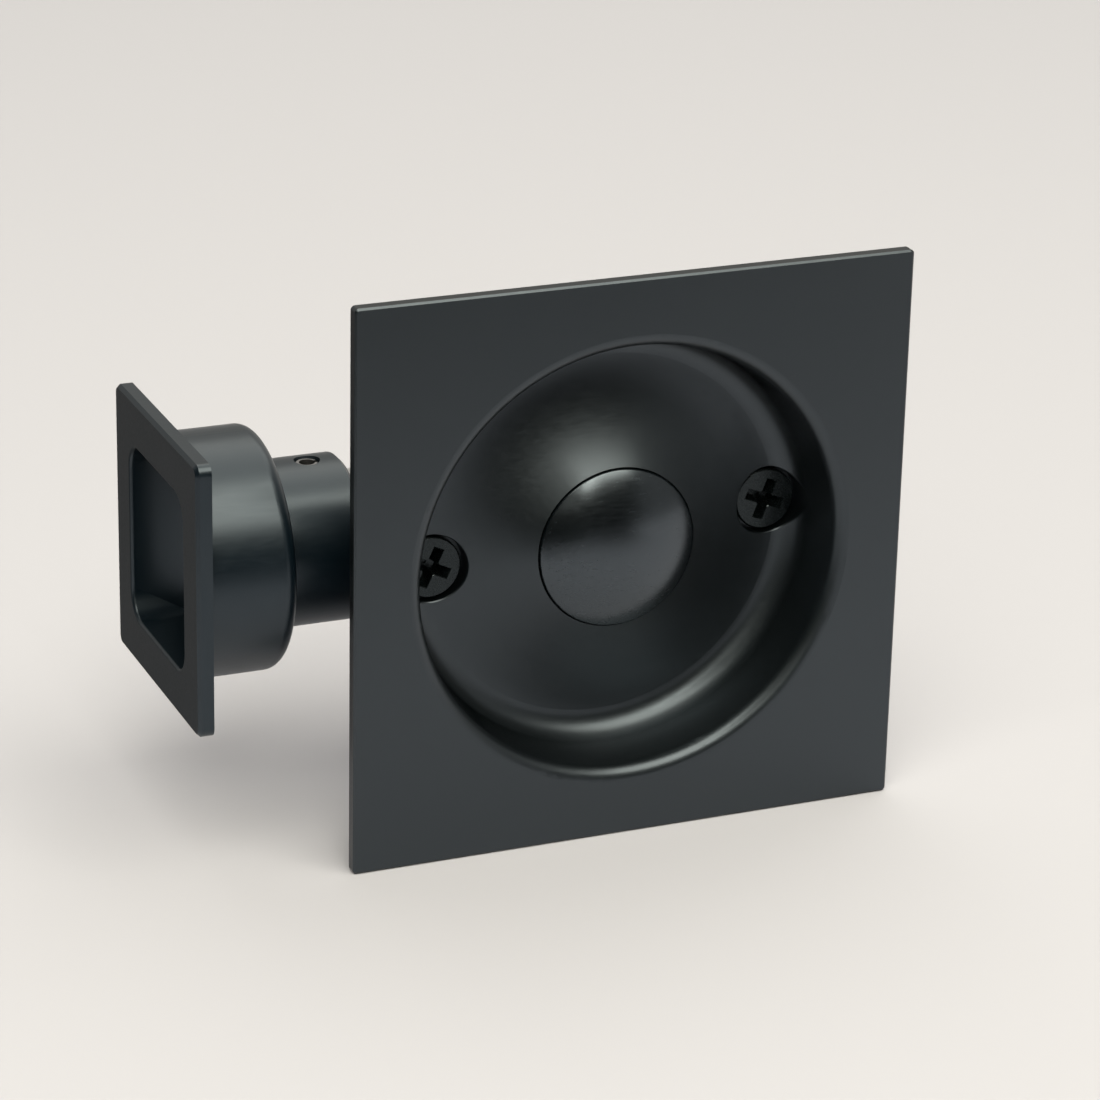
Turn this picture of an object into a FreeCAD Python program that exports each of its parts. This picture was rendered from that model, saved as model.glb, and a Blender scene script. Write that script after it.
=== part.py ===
import FreeCAD, Part
import math
import os

V = FreeCAD.Vector

# Pocket door pull. Millimetres. Origin: cup axis, on the back face of the plate
# (the face of the door). -Y faces the hand, +Y goes into the door, -X is the
# door's edge, +Z is up.

# ---- driving dimensions ----
DOOR_T = 35.0          # door thickness
BACKSET = 50.0         # door edge to cup axis

PLATE = 66.7           # square plate, side
PLATE_T = 1.5          # plate thickness
PLATE_CORNER = 0.5     # plan radius of the plate corners
PLATE_BREAK = 0.22     # small chamfer round the front of the plate

LIP_START = 26.85      # radius where the flat face turns into the cup
LIP_R = 1.6            # lip rounding
WALL_DRAFT = 6.0       # cup wall lean, degrees
FLOOR_Y = 7.99         # lowest ring of the cup floor
FLOOR_FILLET = 3.0     # concave round between floor and wall
MOUND_Y = 3.58         # height of the mound's inner edge
MOUND_ANGLE = 33.3     # slope of the mound at its inner edge, degrees
MOUND_REACH = 7.3      # how long the mound keeps near that slope
FLOOR_REACH = 1.5      # how long the floor stays near level
CUP_OUT_R = 26.6       # outside of the cup
CUP_BACK_Y = 10.4      # back of the cup
CUP_BACK_FILLET = 2.5
BACK_REC_R1 = 15.0     # hollow under the mound: mouth radius
BACK_REC_R2 = 11.0     # hollow under the mound: bottom radius
BACK_REC_Y = 7.6

BTN_HOLE_R = 9.58      # seat in the mound
BTN_R = 9.46
BTN_SEAT_Y = 5.2
BTN_TOP_Y = 0.54       # crown of the dome
DOME_R = 9.28          # where the dome turns into its rounded edge
DOME_EDGE_Y = 3.20
DOME_ANGLE = 38.0      # slope of the dome there, degrees
DOME_CROWN_REACH = 2.55
DOME_EDGE_REACH = 3.4
STEM_R = 3.0
STEM_HOLE_R = 3.2
STEM_END_Y = 11.4

RING_OUT_R = 7.0
RING_T = 0.5
RING_TEETH = 8
RING_SLOT_R = 4.6

SCREW_R = 20.75        # screw circle radius
SCREW_TILT = 4.3       # the screw line is turned this much, degrees
SCREW_HEAD_D = 7.35
SCREW_HEAD_Y = 8.30    # top of the heads
SCREW_HEAD_LAND = 0.2  # straight edge of the head
SCREW_SHANK_D = 3.9
SCREW_LEN = 8.0
SCREW_HOLE_D = 4.4
SCREW_BORE_D = 8.1     # counterbore round the head
SCREW_BORE_Y = 9.25    # floor of the counterbore
SCREW_BORE_BREAK = 0.12
RECESS_SPAN = 4.55     # cross recess, tip to tip
RECESS_W = 1.22
RECESS_DEPTH = 2.2
RECESS_BREAK = 0.06

EDGE_W = 30.0          # edge faceplate, across the door
EDGE_H = 32.0
EDGE_T = 1.8
EDGE_CORNER = 1.2
EDGE_BREAK = 0.4
POCKET_W = 19.6
POCKET_H = 20.9
POCKET_CORNER = 3.0
POCKET_DEPTH = 10.4
POCKET_LIP = 0.4
POCKET_ROUND = 6.0
BARREL_R = 14.0
BARREL_END_X = -37.8
NECK_R = 9.6
NECK_END_X = -28.2

BAR_Y0 = 12.0          # carrier bar, front face
BAR_Y1 = 23.0
BAR_H = 12.0
BAR_END_X = 25.6
SOCKET_END_X = -36.4
SOCKET_GAP = 0.1
TAP_FRONT_R = 2.0      # M4 holes for the plate screws
TAP_REAR_R = 1.65      # M4 tapping size, for the pull on the other face
TAP_DEPTH = 4.6

PIN_R = 1.5
PIN_BORE_R = 0.9
PIN_X = -32.2
PIN_HALF = 9.3
PIN_SLOT = 0.6

MID_Y = DOOR_T / 2.0
AY = V(0, 1, 0)


def arc(p, m, q):
    return Part.Arc(p, m, q).toShape()


def line(p, q):
    return Part.makeLine(p, q)


def sweep(*poles):
    c = Part.BezierCurve()
    c.setPoles(list(poles))
    return c.toShape()


def lathe(edges):
    """Turn a closed outline in the XY plane (x = radius) about the cup axis."""
    face = Part.Face(Part.Wire(Part.__sortEdges__(edges)))
    return face.revolve(V(0, 0, 0), AY, 360)


def cyl(r, y0, y1, x=0.0, z=0.0):
    return Part.makeCylinder(r, y1 - y0, V(x, y0, z), AY)


def rounded_rect_prism_y(w, h, r, y0, y1):
    s = Part.makeBox(w, y1 - y0, h, V(-w / 2, y0, -h / 2))
    es = [e for e in s.Edges if abs(e.tangentAt(e.FirstParameter).y) > 0.9]
    return s.makeFillet(r, es)


def rounded_rect_prism_x(w, h, r, x0, x1, yc):
    s = Part.makeBox(x1 - x0, w, h, V(x0, yc - w / 2, -h / 2))
    es = [e for e in s.Edges if abs(e.tangentAt(e.FirstParameter).x) > 0.9]
    return s.makeFillet(r, es)


def screw_xz():
    a = math.radians(SCREW_TILT)
    c, s = SCREW_R * math.cos(a), SCREW_R * math.sin(a)
    return [(-c, -s), (c, s)]


# ---- plate with cup ----
def pull_plate():
    front = -PLATE_T
    dr = math.radians(WALL_DRAFT)
    # lip
    lc = V(LIP_START, front + LIP_R, 0)
    l0 = V(LIP_START, front, 0)
    phi = math.pi / 2 - dr
    lm = V(lc.x - LIP_R * math.sin(phi / 2), lc.y - LIP_R * math.cos(phi / 2), 0)
    l1 = V(lc.x - LIP_R * math.sin(phi), lc.y - LIP_R * math.cos(phi), 0)
    # concave round at the foot of the wall
    fy = FLOOR_Y - FLOOR_FILLET
    nx, ny = -math.cos(dr), -math.sin(dr)          # from wall towards the axis
    # centre on the line parallel to the wall, FLOOR_FILLET inside it
    wx = l1.x - math.tan(dr) * (fy - l1.y - FLOOR_FILLET * ny)
    fc = V(wx + FLOOR_FILLET * nx, fy, 0)
    f0 = V(fc.x - FLOOR_FILLET * nx, fc.y - FLOOR_FILLET * ny, 0)
    a0 = math.atan2(f0.y - fc.y, f0.x - fc.x)
    am = (a0 + math.pi / 2) / 2
    fm = V(fc.x + FLOOR_FILLET * math.cos(am), fc.y + FLOOR_FILLET * math.sin(am), 0)
    f1 = V(fc.x, FLOOR_Y, 0)
    # mound: one concave sweep from the lowest ring up to the button
    ma = math.radians(MOUND_ANGLE)
    m1 = V(BTN_HOLE_R, MOUND_Y, 0)
    mound = sweep(f1, V(f1.x - FLOOR_REACH, f1.y, 0),
                  V(m1.x + MOUND_REACH * math.cos(ma), m1.y + MOUND_REACH * math.sin(ma), 0), m1)
    # seat, hollow and back
    s0 = V(BTN_HOLE_R, BTN_SEAT_Y, 0)
    s1 = V(STEM_HOLE_R, BTN_SEAT_Y, 0)
    s2 = V(STEM_HOLE_R, BACK_REC_Y, 0)
    b0 = V(BACK_REC_R2, BACK_REC_Y, 0)
    b1 = V(BACK_REC_R1, CUP_BACK_Y, 0)
    bf = CUP_BACK_FILLET
    b2 = V(CUP_OUT_R - bf, CUP_BACK_Y, 0)
    bm = V(CUP_OUT_R - bf + bf * math.sin(math.pi / 4), CUP_BACK_Y - bf + bf * math.cos(math.pi / 4), 0)
    b3 = V(CUP_OUT_R, CUP_BACK_Y - bf, 0)
    b4 = V(CUP_OUT_R, 0, 0)
    e0 = V(LIP_START + 1.5, 0, 0)
    e1 = V(LIP_START + 1.5, front, 0)
    cup = lathe([
        line(e1, l0), arc(l0, lm, l1), line(l1, f0), arc(f0, fm, f1),
        mound, line(m1, s0), line(s0, s1), line(s1, s2),
        line(s2, b0), line(b0, b1), line(b1, b2), arc(b2, bm, b3),
        line(b3, b4), line(b4, e0), line(e0, e1)])
    sheet = rounded_rect_prism_y(PLATE, PLATE, PLATE_CORNER, front, 0)
    es = [e for e in sheet.Edges if all(abs(v.Y - front) < 1e-6 for v in e.Vertexes)]
    sheet = sheet.makeChamfer(PLATE_BREAK, es)
    sheet = sheet.cut(cyl(LIP_START + 0.75, front - 1, 1))
    body = sheet.fuse(cup)
    for x, z in screw_xz():
        seat_r = SCREW_HEAD_D / 2 + 0.02 - (SCREW_BORE_Y - SCREW_HEAD_Y - SCREW_HEAD_LAND)
        cone = Part.makeCone(seat_r, SCREW_HOLE_D / 2, seat_r - SCREW_HOLE_D / 2, V(x, SCREW_BORE_Y, z), AY)
        body = body.cut(cyl(SCREW_BORE_D / 2, 2.0, SCREW_BORE_Y, x, z))
        body = body.cut(cone)
        body = body.cut(cyl(SCREW_HOLE_D / 2, SCREW_BORE_Y, 14, x, z))
    body = body.removeSplitter()
    # break the sharp mouths of the counterbores
    es = []
    for e in body.Edges:
        ps = e.discretize(7)
        for x, z in screw_xz():
            if all(abs(math.hypot(q.x - x, q.z - z) - SCREW_BORE_D / 2) < 1e-3 and q.y < SCREW_HEAD_Y - 0.05 for q in ps) \
                    and max(q.y for q in ps) - min(q.y for q in ps) > 1e-3:
                es.append(e)
    body = body.makeChamfer(SCREW_BORE_BREAK, es)
    return body


# ---- domed button ----
def centre_button():
    da = math.radians(DOME_ANGLE)
    d0 = V(0, BTN_TOP_Y, 0)
    d1 = V(DOME_R, DOME_EDGE_Y, 0)
    dome = sweep(d0, V(DOME_CROWN_REACH, BTN_TOP_Y, 0),
                 V(d1.x - DOME_EDGE_REACH * math.cos(da), d1.y - DOME_EDGE_REACH * math.sin(da), 0), d1)
    # rounded edge, from the dome's slope to the straight side
    k = (BTN_R - DOME_R) / (1 - math.sin(da))
    kc = V(BTN_R - k, DOME_EDGE_Y + k * math.cos(da), 0)
    kt = (math.pi / 2 - da) / 2
    km = V(kc.x + k * math.cos(kt), kc.y - k * math.sin(kt), 0)
    k1 = V(BTN_R, kc.y, 0)
    p1 = V(BTN_R, BTN_SEAT_Y, 0)
    p2 = V(STEM_R, BTN_SEAT_Y, 0)
    p3 = V(STEM_R, STEM_END_Y - 0.6, 0)
    p4 = V(STEM_R - 0.6, STEM_END_Y, 0)
    p5 = V(0, STEM_END_Y, 0)
    return lathe([dome, arc(d1, km, k1), line(k1, p1), line(p1, p2),
                  line(p2, p3), line(p3, p4), line(p4, p5), line(p5, d0)])


# ---- push-on ring with teeth ----
def button_ring():
    y0, y1 = BACK_REC_Y, BACK_REC_Y + RING_T
    ring = cyl(RING_OUT_R, y0, y1).cut(cyl(STEM_R, y0 - 1, y1 + 1))
    for i in range(RING_TEETH):
        slot = Part.makeBox(RING_SLOT_R, RING_T + 2, 1.0, V(0, y0 - 1, -0.5))
        slot.rotate(V(0, 0, 0), AY, 360.0 / RING_TEETH * i)
        ring = ring.cut(slot)
    es = [e for e in ring.Edges if e.Curve.TypeId == "Part::GeomCircle"
          and abs(e.Curve.Radius - RING_OUT_R) < 1e-6]
    return ring.makeChamfer(0.12, es)


# ---- flat-head screws ----
def blade(span, width, depth, y0):
    """One arm pair of the cross recess: narrows to the bottom."""
    a, b = span / 2, width / 2
    c, d = span * 0.24, width * 0.36
    top = [V(-a, y0, -b), V(a, y0, -b), V(a, y0, b), V(-a, y0, b)]
    bot = [V(-c, y0 + depth, -d), V(c, y0 + depth, -d), V(c, y0 + depth, d), V(-c, y0 + depth, d)]
    faces = [Part.Face(Part.makePolygon(top + top[:1])), Part.Face(Part.makePolygon(bot + bot[:1]))]
    for i in range(4):
        j = (i + 1) % 4
        faces.append(Part.Face(Part.makePolygon([top[i], top[j], bot[j], bot[i], top[i]])))
    s = Part.Solid(Part.Shell(faces))
    if s.Volume < 0:
        s.reverse()
    return s


def screw(x, z, turn):
    r, y0 = SCREW_HEAD_D / 2, SCREW_HEAD_Y
    y1 = y0 + SCREW_HEAD_LAND
    sr = SCREW_SHANK_D / 2
    y2 = y1 + (r - sr)
    ye = y0 + SCREW_LEN
    pts = [V(0, y0, 0), V(r - 0.18, y0, 0), V(r, y0 + 0.18, 0), V(r, y1, 0), V(sr, y2, 0),
           V(sr, ye - 0.5, 0), V(sr - 0.5, ye, 0), V(0, ye, 0)]
    body = lathe([line(pts[i], pts[(i + 1) % len(pts)]) for i in range(len(pts))])
    up = 0.3
    k = (RECESS_DEPTH + up) / RECESS_DEPTH
    b1 = blade(RECESS_SPAN * k, RECESS_W * 1.05, RECESS_DEPTH + up, y0 - up)
    b2 = b1.copy()
    b2.rotate(V(0, 0, 0), AY, 90)
    core = Part.makeCone(RECESS_W * 0.86, 0.25, RECESS_DEPTH + 0.25, V(0, y0 - 0.05, 0), AY)
    body = body.cut(b1).cut(b2).cut(core).removeSplitter()
    es = [e for e in body.Edges if all(abs(q.y - y0) < 1e-5 and math.hypot(q.x, q.z) < r - 0.4 for q in e.discretize(5))]
    body = body.makeChamfer(RECESS_BREAK, es)
    body.rotate(V(0, 0, 0), AY, turn)
    body.translate(V(x, 0, z))
    return body


def plate_screws():
    (xa, za), (xb, zb) = screw_xz()
    return Part.Compound([screw(xa, za, 25.0), screw(xb, zb, 21.0)])


# ---- edge pull ----
def edge_pull():
    x0 = -BACKSET
    plate = rounded_rect_prism_x(EDGE_W, EDGE_H, EDGE_CORNER, x0, x0 + EDGE_T, MID_Y)
    es = [e for e in plate.Edges if all(abs(v.X - x0) < 1e-6 for v in e.Vertexes)]
    plate = plate.makeChamfer(EDGE_BREAK, es)
    barrel = Part.makeCylinder(BARREL_R, BARREL_END_X - x0 - EDGE_T + 0.5,
                               V(x0 + EDGE_T - 0.5, MID_Y, 0), V(1, 0, 0))
    es = [e for e in barrel.Edges if e.Curve.TypeId == "Part::GeomCircle"
          and all(abs(v.X - BARREL_END_X) < 1e-6 for v in e.Vertexes)]
    barrel = barrel.makeFillet(1.6, es)
    neck = Part.makeCylinder(NECK_R, NECK_END_X - BARREL_END_X + 1.0,
                             V(BARREL_END_X - 1.0, MID_Y, 0), V(1, 0, 0))
    es = [e for e in neck.Edges if e.Curve.TypeId == "Part::GeomCircle"
          and all(abs(v.X - NECK_END_X) < 1e-6 for v in e.Vertexes)]
    neck = neck.makeChamfer(0.5, es)
    body = plate.fuse(barrel).fuse(neck)
    # finger pocket: rounded mouth, floor curved like a scoop
    mouth = rounded_rect_prism_x(POCKET_W, POCKET_H, POCKET_CORNER, x0 - 5, x0 + POCKET_DEPTH, MID_Y)
    r = POCKET_W / 2
    xs = x0 + POCKET_DEPTH - r
    scoop = Part.makeCylinder(r, POCKET_H, V(xs, MID_Y, -POCKET_H / 2), V(0, 0, 1)).fuse(
        Part.makeBox(xs - x0 + 5, POCKET_W, POCKET_H, V(x0 - 5, MID_Y - r, -POCKET_H / 2)))
    mouth = mouth.common(scoop.removeSplitter()).removeSplitter()
    bowl = Part.makeBox(POCKET_DEPTH + 5, POCKET_W + 2, POCKET_H, V(x0 - 5, MID_Y - POCKET_W / 2 - 1, -POCKET_H / 2))
    es = [e for e in bowl.Edges if all(abs(v.X - x0 - POCKET_DEPTH) < 1e-6 for v in e.Vertexes)
          and abs(e.tangentAt(e.FirstParameter).y) > 0.9]
    mouth = mouth.common(bowl.makeFillet(POCKET_ROUND, es)).removeSplitter()
    body = body.cut(mouth)
    es = [e for e in body.Edges if all(abs(v.X - x0) < 1e-6 for v in e.Vertexes)
          and abs(e.CenterOfMass.y - MID_Y) < POCKET_W / 2 + 0.1
          and abs(e.CenterOfMass.z) < POCKET_H / 2 + 0.1]
    body = body.makeFillet(POCKET_LIP, es)
    # socket for the bar and the pin hole
    g = SOCKET_GAP
    socket = Part.makeBox(NECK_END_X + 1 - SOCKET_END_X, BAR_Y1 - BAR_Y0 + 2 * g, BAR_H + 2 * g,
                          V(SOCKET_END_X, BAR_Y0 - g, -BAR_H / 2 - g))
    body = body.cut(socket)
    body = body.cut(Part.makeCylinder(PIN_R, 40, V(PIN_X, MID_Y, -20), V(0, 0, 1)))
    return body.removeSplitter()


# ---- carrier bar ----
def carrier_bar():
    x0 = SOCKET_END_X + 0.2
    bar = Part.makeBox(BAR_END_X - x0, BAR_Y1 - BAR_Y0, BAR_H, V(x0, BAR_Y0, -BAR_H / 2))
    es = [e for e in bar.Edges if abs(e.tangentAt(e.FirstParameter).x) > 0.9]
    bar = bar.makeChamfer(0.5, es)
    for x, z in screw_xz():
        bar = bar.cut(cyl(TAP_FRONT_R, BAR_Y0 - 1, BAR_Y0 + TAP_DEPTH, x, z))
        bar = bar.cut(cyl(TAP_REAR_R, BAR_Y1 - TAP_DEPTH, BAR_Y1 + 1, x, z))
    bar = bar.cut(Part.makeCylinder(PIN_R, 40, V(PIN_X, MID_Y, -20), V(0, 0, 1)))
    return bar


# ---- spring pin ----
def bar_pin():
    o = V(PIN_X, MID_Y, -PIN_HALF)
    pin = Part.makeCylinder(PIN_R, 2 * PIN_HALF, o, V(0, 0, 1))
    pin = pin.makeChamfer(0.3, [e for e in pin.Edges if e.Curve.TypeId == "Part::GeomCircle"])
    pin = pin.cut(Part.makeCylinder(PIN_BORE_R, 2 * PIN_HALF + 2, o - V(0, 0, 1), V(0, 0, 1)))
    pin = pin.cut(Part.makeBox(3, PIN_SLOT, 2 * PIN_HALF + 2, V(PIN_X, MID_Y - PIN_SLOT / 2, -PIN_HALF - 1)))
    return pin


NODES = [
    ("pull_plate", pull_plate),
    ("centre_button", centre_button),
    ("button_ring", button_ring),
    ("plate_screws", plate_screws),
    ("edge_pull", edge_pull),
    ("carrier_bar", carrier_bar),
    ("bar_pin", bar_pin),
]

os.makedirs("parts", exist_ok=True)
for name, make in NODES:
    shape = make()
    print(name, shape.ShapeType, "solids", len(shape.Solids), "valid", shape.isValid(), "vol", round(shape.Volume, 1))
    shape.exportStep("parts/%s.step" % name)
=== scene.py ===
import bpy
import bmesh
import math
import numpy as np
from mathutils import Matrix, Quaternion, Vector


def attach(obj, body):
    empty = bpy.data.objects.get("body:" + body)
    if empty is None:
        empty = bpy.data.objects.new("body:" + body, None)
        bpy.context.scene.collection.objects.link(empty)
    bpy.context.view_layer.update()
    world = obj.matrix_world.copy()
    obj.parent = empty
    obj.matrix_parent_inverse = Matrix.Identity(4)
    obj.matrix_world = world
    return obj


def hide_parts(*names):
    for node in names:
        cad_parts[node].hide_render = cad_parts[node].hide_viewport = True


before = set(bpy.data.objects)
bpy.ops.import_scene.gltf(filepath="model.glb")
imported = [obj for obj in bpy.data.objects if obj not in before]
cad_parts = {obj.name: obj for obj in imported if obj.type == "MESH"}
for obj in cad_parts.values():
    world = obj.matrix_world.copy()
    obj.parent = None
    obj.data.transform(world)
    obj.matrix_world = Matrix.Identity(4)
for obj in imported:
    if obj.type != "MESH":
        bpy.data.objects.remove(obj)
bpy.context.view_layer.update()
MM = 0.001
scene = bpy.context.scene
scene.view_settings.view_transform = "Standard"
scene.view_settings.look = "None"
scene.view_settings.exposure = 0.0
scene.view_settings.gamma = 1.0


# ------------------------------------------------------------------ node helpers
def new_mat(name):
    m = bpy.data.materials.new(name)
    m.use_nodes = True
    nt = m.node_tree
    for n in list(nt.nodes):
        nt.nodes.remove(n)
    out = nt.nodes.new("ShaderNodeOutputMaterial")
    bsdf = nt.nodes.new("ShaderNodeBsdfPrincipled")
    nt.links.new(bsdf.outputs["BSDF"], out.inputs["Surface"])
    return m, nt, bsdf


def coords(nt, scale):
    """Object coordinates, in millimetres, stretched by scale."""
    tc = nt.nodes.new("ShaderNodeTexCoord")
    mp = nt.nodes.new("ShaderNodeMapping")
    mp.inputs["Scale"].default_value = tuple(1000.0 * s for s in scale)
    nt.links.new(tc.outputs["Object"], mp.inputs["Vector"])
    return mp.outputs["Vector"]


def noise(nt, vec, scale, detail=2.0, rough=0.5):
    n = nt.nodes.new("ShaderNodeTexNoise")
    n.inputs["Scale"].default_value = scale
    n.inputs["Detail"].default_value = detail
    n.inputs["Roughness"].default_value = rough
    nt.links.new(vec, n.inputs["Vector"])
    return n.outputs["Fac"]


def remap(nt, fac, lo, hi, a=0.0, b=1.0):
    r = nt.nodes.new("ShaderNodeMapRange")
    r.inputs["From Min"].default_value = a
    r.inputs["From Max"].default_value = b
    r.inputs["To Min"].default_value = lo
    r.inputs["To Max"].default_value = hi
    nt.links.new(fac, r.inputs["Value"])
    return r.outputs["Result"]


def mix_rgb(nt, fac, a, b):
    m = nt.nodes.new("ShaderNodeMix")
    m.data_type = "RGBA"
    if isinstance(fac, (int, float)):
        m.inputs["Factor"].default_value = fac
    else:
        nt.links.new(fac, m.inputs["Factor"])
    for sock, v in ((m.inputs["A"], a), (m.inputs["B"], b)):
        if isinstance(v, (tuple, list)):
            sock.default_value = (*v, 1.0)
        else:
            nt.links.new(v, sock)
    return m.outputs["Result"]


def math2(nt, op, a, b):
    m = nt.nodes.new("ShaderNodeMath")
    m.operation = op
    for i, v in enumerate((a, b)):
        if isinstance(v, (int, float)):
            m.inputs[i].default_value = v
        else:
            nt.links.new(v, m.inputs[i])
    return m.outputs["Value"]


def bump(nt, height, strength, dist_mm, normal=None):
    b = nt.nodes.new("ShaderNodeBump")
    b.inputs["Strength"].default_value = strength
    b.inputs["Distance"].default_value = dist_mm * MM
    nt.links.new(height, b.inputs["Height"])
    if normal is not None:
        nt.links.new(normal, b.inputs["Normal"])
    return b.outputs["Normal"]


# ------------------------------------------------------------------ materials
def satin_black(name, dark, light, rough, spec, brush=0.5, matt_edge=False):
    m, nt, bsdf = new_mat(name)
    v = coords(nt, (1, 1, 1))
    vb = coords(nt, (0.16, 1, 1.0))          # fine grain drawn out along X
    broad = noise(nt, v, 0.09, 3.0)
    fine = noise(nt, v, 5.0, 2.0)
    grain = noise(nt, vb, 3.2, 3.0, 0.6)
    tone = math2(nt, "ADD", math2(nt, "MULTIPLY", broad, 0.6), math2(nt, "MULTIPLY", grain, 0.4))
    nt.links.new(mix_rgb(nt, remap(nt, tone, 0, 1, 0.3, 0.7), dark, light), bsdf.inputs["Base Color"])
    rr = math2(nt, "ADD", remap(nt, grain, rough - 0.03, rough + 0.03, 0.3, 0.7),
               remap(nt, broad, -0.012, 0.012, 0.3, 0.7))
    nt.links.new(rr, bsdf.inputs["Roughness"])
    bsdf.inputs["Specular IOR Level"].default_value = spec
    if matt_edge:                            # a matt coat: its sheen falls off at glancing angles
        lw = nt.nodes.new("ShaderNodeLayerWeight")
        lw.inputs["Blend"].default_value = 0.5
        nt.links.new(remap(nt, lw.outputs["Facing"], spec, 0.05 * spec, 0.56, 0.84),
                     bsdf.inputs["Specular IOR Level"])
    bsdf.inputs["Specular Tint"].default_value = (0.765, 0.880, 1.0, 1)
    nb = bump(nt, fine, 0.10 * brush, 0.012)
    nb = bump(nt, grain, 0.05 * brush, 0.012, nb)
    nt.links.new(nb, bsdf.inputs["Normal"])
    return m


def granular_black(name, dark, light, rough, spec):
    m, nt, bsdf = new_mat(name)
    v = coords(nt, (1, 1, 1))
    grit = noise(nt, v, 2.6, 3.0, 0.6)
    fine = noise(nt, v, 9.0, 2.0)
    nt.links.new(mix_rgb(nt, remap(nt, grit, 0, 1, 0.35, 0.68), dark, light), bsdf.inputs["Base Color"])
    nt.links.new(remap(nt, fine, rough - 0.07, rough + 0.07, 0.3, 0.7), bsdf.inputs["Roughness"])
    bsdf.inputs["Specular IOR Level"].default_value = spec
    bsdf.inputs["Specular Tint"].default_value = (0.78, 0.91, 1.0, 1)
    nb = bump(nt, grit, 0.22, 0.03)
    nb = bump(nt, fine, 0.12, 0.012, nb)
    nt.links.new(nb, bsdf.inputs["Normal"])
    return m


def plain_metal(name, c0, c1, rough):
    m, nt, bsdf = new_mat(name)
    v = coords(nt, (1, 1, 1))
    vb = coords(nt, (0.1, 1, 1))
    broad = noise(nt, v, 0.4, 3.0)
    grain = noise(nt, vb, 4.0, 3.0)
    nt.links.new(mix_rgb(nt, remap(nt, broad, 0, 1, 0.3, 0.7), c0, c1), bsdf.inputs["Base Color"])
    nt.links.new(remap(nt, grain, rough - 0.06, rough + 0.06, 0.3, 0.7), bsdf.inputs["Roughness"])
    bsdf.inputs["Metallic"].default_value = 1.0
    nt.links.new(bump(nt, grain, 0.08, 0.02), bsdf.inputs["Normal"])
    return m


plate_mat = satin_black("plate_satin_black", (0.0003, 0.0009, 0.0011), (0.0007, 0.0014, 0.0017), 0.355, 0.96, 0.9, True)
button_mat = satin_black("button_satin_black", (0.0003, 0.0009, 0.0011), (0.0007, 0.0014, 0.0017), 0.25, 1.0, 0.06)
button_mat.node_tree.nodes["Principled BSDF"].inputs["IOR"].default_value = 1.56
edge_mat = satin_black("edge_satin_black", (0.0006, 0.0032, 0.0058), (0.0011, 0.0044, 0.0076), 0.33, 0.74, 0.9)
screw_mat = granular_black("screw_black_oxide", (0.0008, 0.0014, 0.0016), (0.0036, 0.0050, 0.0054), 0.25, 0.42)
zinc_mat = plain_metal("zinc_plated_steel", (0.46, 0.47, 0.49), (0.58, 0.58, 0.58), 0.36)
spring_mat = plain_metal("bright_spring_steel", (0.30, 0.30, 0.31), (0.38, 0.38, 0.38), 0.34)

for node, mat in (("pull_plate", plate_mat), ("centre_button", button_mat), ("edge_pull", edge_mat),
                  ("plate_screws", screw_mat), ("carrier_bar", zinc_mat), ("button_ring", spring_mat),
                  ("bar_pin", spring_mat)):
    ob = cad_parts[node]
    ob.data.materials.clear()
    ob.data.materials.append(mat)

# ------------------------------------------------------------------ button: turned mesh with even rings
def bezier(p, n):
    t = np.linspace(0, 1, n)[:, None]
    p = np.array(p, float)
    return (1 - t) ** 3 * p[0] + 3 * (1 - t) ** 2 * t * p[1] + 3 * (1 - t) * t * t * p[2] + t ** 3 * p[3]


def turned(name, outline, seg):
    """A closed body turned about the cup axis; outline is (radius, y) in mm from axis to axis."""
    verts, faces, rings = [], [], []
    for r, y in outline:
        if r < 1e-6:
            rings.append([len(verts)])
            verts.append((0.0, y * MM, 0.0))
        else:
            rings.append(list(range(len(verts), len(verts) + seg)))
            for k in range(seg):
                a = 2 * math.pi * k / seg
                verts.append((r * MM * math.cos(a), y * MM, r * MM * math.sin(a)))
    for i in range(len(rings) - 1):
        A, B = rings[i], rings[i + 1]
        for k in range(seg):
            k2 = (k + 1) % seg
            if len(A) == 1:
                faces.append((A[0], B[k], B[k2]))
            elif len(B) == 1:
                faces.append((A[k], B[0], A[k2]))
            else:
                faces.append((A[k], B[k], B[k2], A[k2]))
    me_ = bpy.data.meshes.new(name)
    me_.from_pydata(verts, [], faces)
    bm = bmesh.new()
    bm.from_mesh(me_)
    bmesh.ops.recalc_face_normals(bm, faces=bm.faces)
    bm.to_mesh(me_)
    bm.free()
    me_.polygons.foreach_set("use_smooth", [True] * len(me_.polygons))
    me_.set_sharp_from_angle(angle=math.radians(40))
    ob_ = bpy.data.objects.new(name, me_)
    scene.collection.objects.link(ob_)
    return ob_


ca = math.radians(34.0)
dome = bezier([(0, 0.54), (2.55, 0.54), (9.28 - 3.4 * math.cos(ca), 3.20 - 3.4 * math.sin(ca)), (9.28, 3.20)], 60)
kr = (9.46 - 9.28) / (1 - math.sin(ca))
kc = (9.46 - kr, 3.20 + kr * math.cos(ca))
edge = [(kc[0] + kr * math.cos(t), kc[1] - kr * math.sin(t)) for t in np.linspace(math.pi / 2 - ca, 0, 14)]
outline = [(0.0, 0.54)] + [tuple(q) for q in dome[1:]] + edge[1:] + [
    (9.46, 5.12), (9.38, 5.2), (3.0, 5.2), (3.0, 10.8), (2.4, 11.4), (0.0, 11.4)]
cap = turned("button_cap", outline, 192)
cap.data.materials.append(button_mat)
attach(cap, "root")
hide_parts("centre_button")

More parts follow.
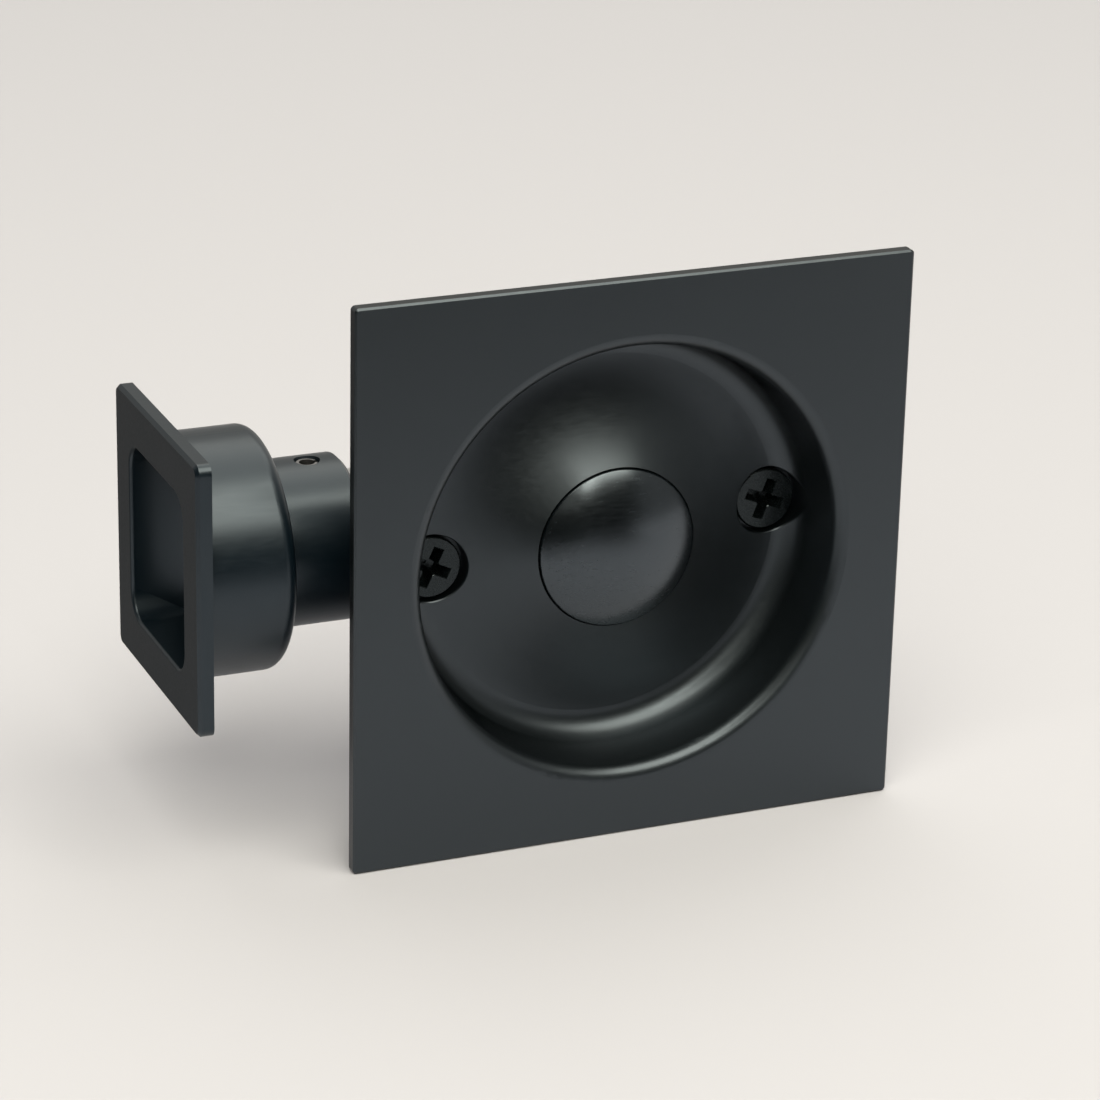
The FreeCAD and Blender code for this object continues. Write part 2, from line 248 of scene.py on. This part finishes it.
# ------------------------------------------------------------------ stage
FLOOR_Z = -0.0334
me = bpy.data.meshes.new("floor")
s = 6.0
me.from_pydata([(-s, -s, FLOOR_Z), (s, -s, FLOOR_Z), (s, s, FLOOR_Z), (-s, s, FLOOR_Z)], [], [(0, 1, 2, 3)])
floor = bpy.data.objects.new("floor", me)
scene.collection.objects.link(floor)
fm, fnt, fb = new_mat("floor_pale")
fb.inputs["Base Color"].default_value = (0.492, 0.490, 0.538, 1)
fb.inputs["Roughness"].default_value = 0.9
fb.inputs["Specular IOR Level"].default_value = 0.1
floor.data.materials.append(fm)

# ------------------------------------------------------------------ camera (from the photo's perspective)
K = 66.7 / 70.0
AZ, EL, ROLL = map(math.radians, (-22.852, 21.491, -1.265))
back = Vector((math.sin(AZ) * math.cos(EL), -math.cos(AZ) * math.cos(EL), math.sin(EL)))
right = Vector((math.cos(AZ), math.sin(AZ), 0))
up = back.cross(right)
c, s_ = math.cos(ROLL), math.sin(ROLL)
r2 = c * right - s_ * up
u2 = s_ * right + c * up
aim = Vector((-10.156 * K, -0.07, 2.368 * K)) * MM
pos = aim + back * (483.076 * K * MM)
cam_data = bpy.data.cameras.new("camera")
cam_data.lens = 135.17
cam_data.sensor_width = 36.0
cam_data.clip_start = 0.01
cam_data.clip_end = 50
cam = bpy.data.objects.new("camera", cam_data)
mw = Matrix.Identity(4)
for i, ax in enumerate((r2, u2, back)):
    for j in range(3):
        mw[j][i] = ax[j]
for j in range(3):
    mw[j][3] = pos[j]
cam.matrix_world = mw
scene.collection.objects.link(cam)
scene.camera = cam


# ------------------------------------------------------------------ light
def area(name, az, el, dist, w, h, power, color=(1, 1, 1), roll=0.0):
    a, e = math.radians(az), math.radians(el)
    d = Vector((math.sin(a) * math.cos(e), -math.cos(a) * math.cos(e), math.sin(e)))
    ld = bpy.data.lights.new(name, "AREA")
    ld.shape = "RECTANGLE"
    ld.size, ld.size_y = w, h
    ld.energy = power
    ld.color = color
    lo = bpy.data.objects.new(name, ld)
    lo.location = d * dist
    lo.rotation_euler = (d.to_track_quat("Z", "Y") @ Quaternion((0, 0, 1), math.radians(roll))).to_euler()
    scene.collection.objects.link(lo)
    return lo


area("softbox", -8, 59, 1.60, 2.20, 1.28, 47.9, (1.0, 0.96, 0.81), 16)
area("low_panel", -16, 37, 1.60, 0.62, 0.38, 5.3, (1.0, 0.96, 0.81), 20)
area("back_top", 150, 62, 2.6, 2.4, 2.4, 32.0, (1.0, 0.97, 0.86))


def reflection_card(name, corners, stops, axis):
    """A black studio card that only glossy reflections meet; it fades along one axis.
    stops: (distance in metres along the axis, cover 0..1)."""
    cm = bpy.data.meshes.new(name)
    cm.from_pydata(corners, [], [(0, 1, 2, 3)])
    co = bpy.data.objects.new(name, cm)
    scene.collection.objects.link(co)
    m = bpy.data.materials.new(name)
    m.use_nodes = True
    nt = m.node_tree
    for n in list(nt.nodes):
        nt.nodes.remove(n)
    out = nt.nodes.new("ShaderNodeOutputMaterial")
    mix = nt.nodes.new("ShaderNodeMixShader")
    clear = nt.nodes.new("ShaderNodeBsdfTransparent")
    black = nt.nodes.new("ShaderNodeBsdfDiffuse")
    black.inputs["Color"].default_value = (0.0, 0.0, 0.0, 1)
    tc = nt.nodes.new("ShaderNodeTexCoord")
    sep = nt.nodes.new("ShaderNodeSeparateXYZ")
    nt.links.new(tc.outputs["Object"], sep.inputs["Vector"])
    ramp = nt.nodes.new("ShaderNodeValToRGB")
    lo, hi = stops[0][0], stops[-1][0]
    mr = nt.nodes.new("ShaderNodeMapRange")
    mr.inputs["From Min"].default_value = lo
    mr.inputs["From Max"].default_value = hi
    nt.links.new(sep.outputs[axis], mr.inputs["Value"])
    nt.links.new(mr.outputs["Result"], ramp.inputs["Fac"])
    els = ramp.color_ramp.elements
    while len(els) > 1:
        els.remove(els[0])
    for i, (pos_, cover) in enumerate(stops):
        e = els[0] if i == 0 else els.new((pos_ - lo) / (hi - lo))
        e.position = (pos_ - lo) / (hi - lo)
        e.color = (cover, cover, cover, 1)
    nt.links.new(ramp.outputs["Color"], mix.inputs["Fac"])
    nt.links.new(clear.outputs["BSDF"], mix.inputs[1])
    nt.links.new(black.outputs["BSDF"], mix.inputs[2])
    nt.links.new(mix.outputs["Shader"], out.inputs["Surface"])
    cm.materials.append(m)
    co.visible_camera = False
    co.visible_shadow = False
    co.visible_diffuse = False
    co.visible_transmission = False
    return co


zc = FLOOR_Z + 0.0004
# Black cards lying on the floor that only glossy rays meet: they paint dark reflections into the glossy parts, while
# the floor the camera sees stays pale.
reflection_card("dark_reflection_front",
                [(-2.0, -2.0, zc), (0.80, -2.0, zc), (0.10, -0.05, zc), (-2.0, -0.05, zc)],
                [(-2.0, 0.95), (-0.60, 0.92), (-0.30, 0.80), (-0.20, 0.56), (-0.15, 0.32), (-0.10, 0.10), (-0.05, 0.0)], "Y")
reflection_card("dark_reflection_near",
                [(-0.60, -0.40, zc + 0.0003), (-0.03, -0.40, zc + 0.0003),
                 (-0.03, -0.06, zc + 0.0003), (-0.60, -0.06, zc + 0.0003)],
                [(-0.60, 0.95), (-0.12, 0.85), (-0.03, 0.0)], "X")
reflection_card("dark_reflection_left",
                [(-2.0, -0.05, zc), (-0.12, -0.05, zc), (-0.12, 0.03, zc), (-2.0, 0.03, zc)],
                [(-2.0, 0.95), (-0.40, 0.85), (-0.25, 0.50), (-0.12, 0.0)], "X")
reflection_card("dark_reflection_back",
                [(-0.60, 0.03, zc), (-0.045, 0.03, zc), (-0.045, 0.60, zc), (-0.60, 0.60, zc)],
                [(0.03, 0.80), (0.60, 0.80)], "Y")
# Standing black card that only glossy rays meet: it paints a dark reflection on the left side.
reflection_card("flag_left",
                [(-0.21, -0.05, FLOOR_Z), (-0.05, -0.22, FLOOR_Z), (-0.05, -0.22, 0.25), (-0.21, -0.05, 0.25)],
                [(-0.05, 1.0), (0.30, 1.0)], "Z")

world = bpy.data.worlds.new("world")
scene.world = world
world.use_nodes = True
wnt = world.node_tree
bg = wnt.nodes["Background"]
wtc = wnt.nodes.new("ShaderNodeTexCoord")
wsep = wnt.nodes.new("ShaderNodeSeparateXYZ")
wnt.links.new(wtc.outputs["Generated"], wsep.inputs["Vector"])


def glow(axis, a, b, amount):
    """Room light that grows from direction a to direction b along one axis."""
    r = wnt.nodes.new("ShaderNodeMapRange")
    r.interpolation_type = "SMOOTHSTEP"
    r.inputs["From Min"].default_value = a
    r.inputs["From Max"].default_value = b
    r.inputs["To Max"].default_value = amount
    wnt.links.new(wsep.outputs[axis], r.inputs["Value"])
    return r.outputs["Result"]


room = math2(wnt, "ADD", glow("X", 0.35, 0.75, 0.33), glow("Y", 0.05, 0.6, 0.40))
room = math2(wnt, "ADD", room, 0.010)
bg.inputs["Color"].default_value = (1.0, 0.97, 0.90, 1)
wnt.links.new(room, bg.inputs["Strength"])
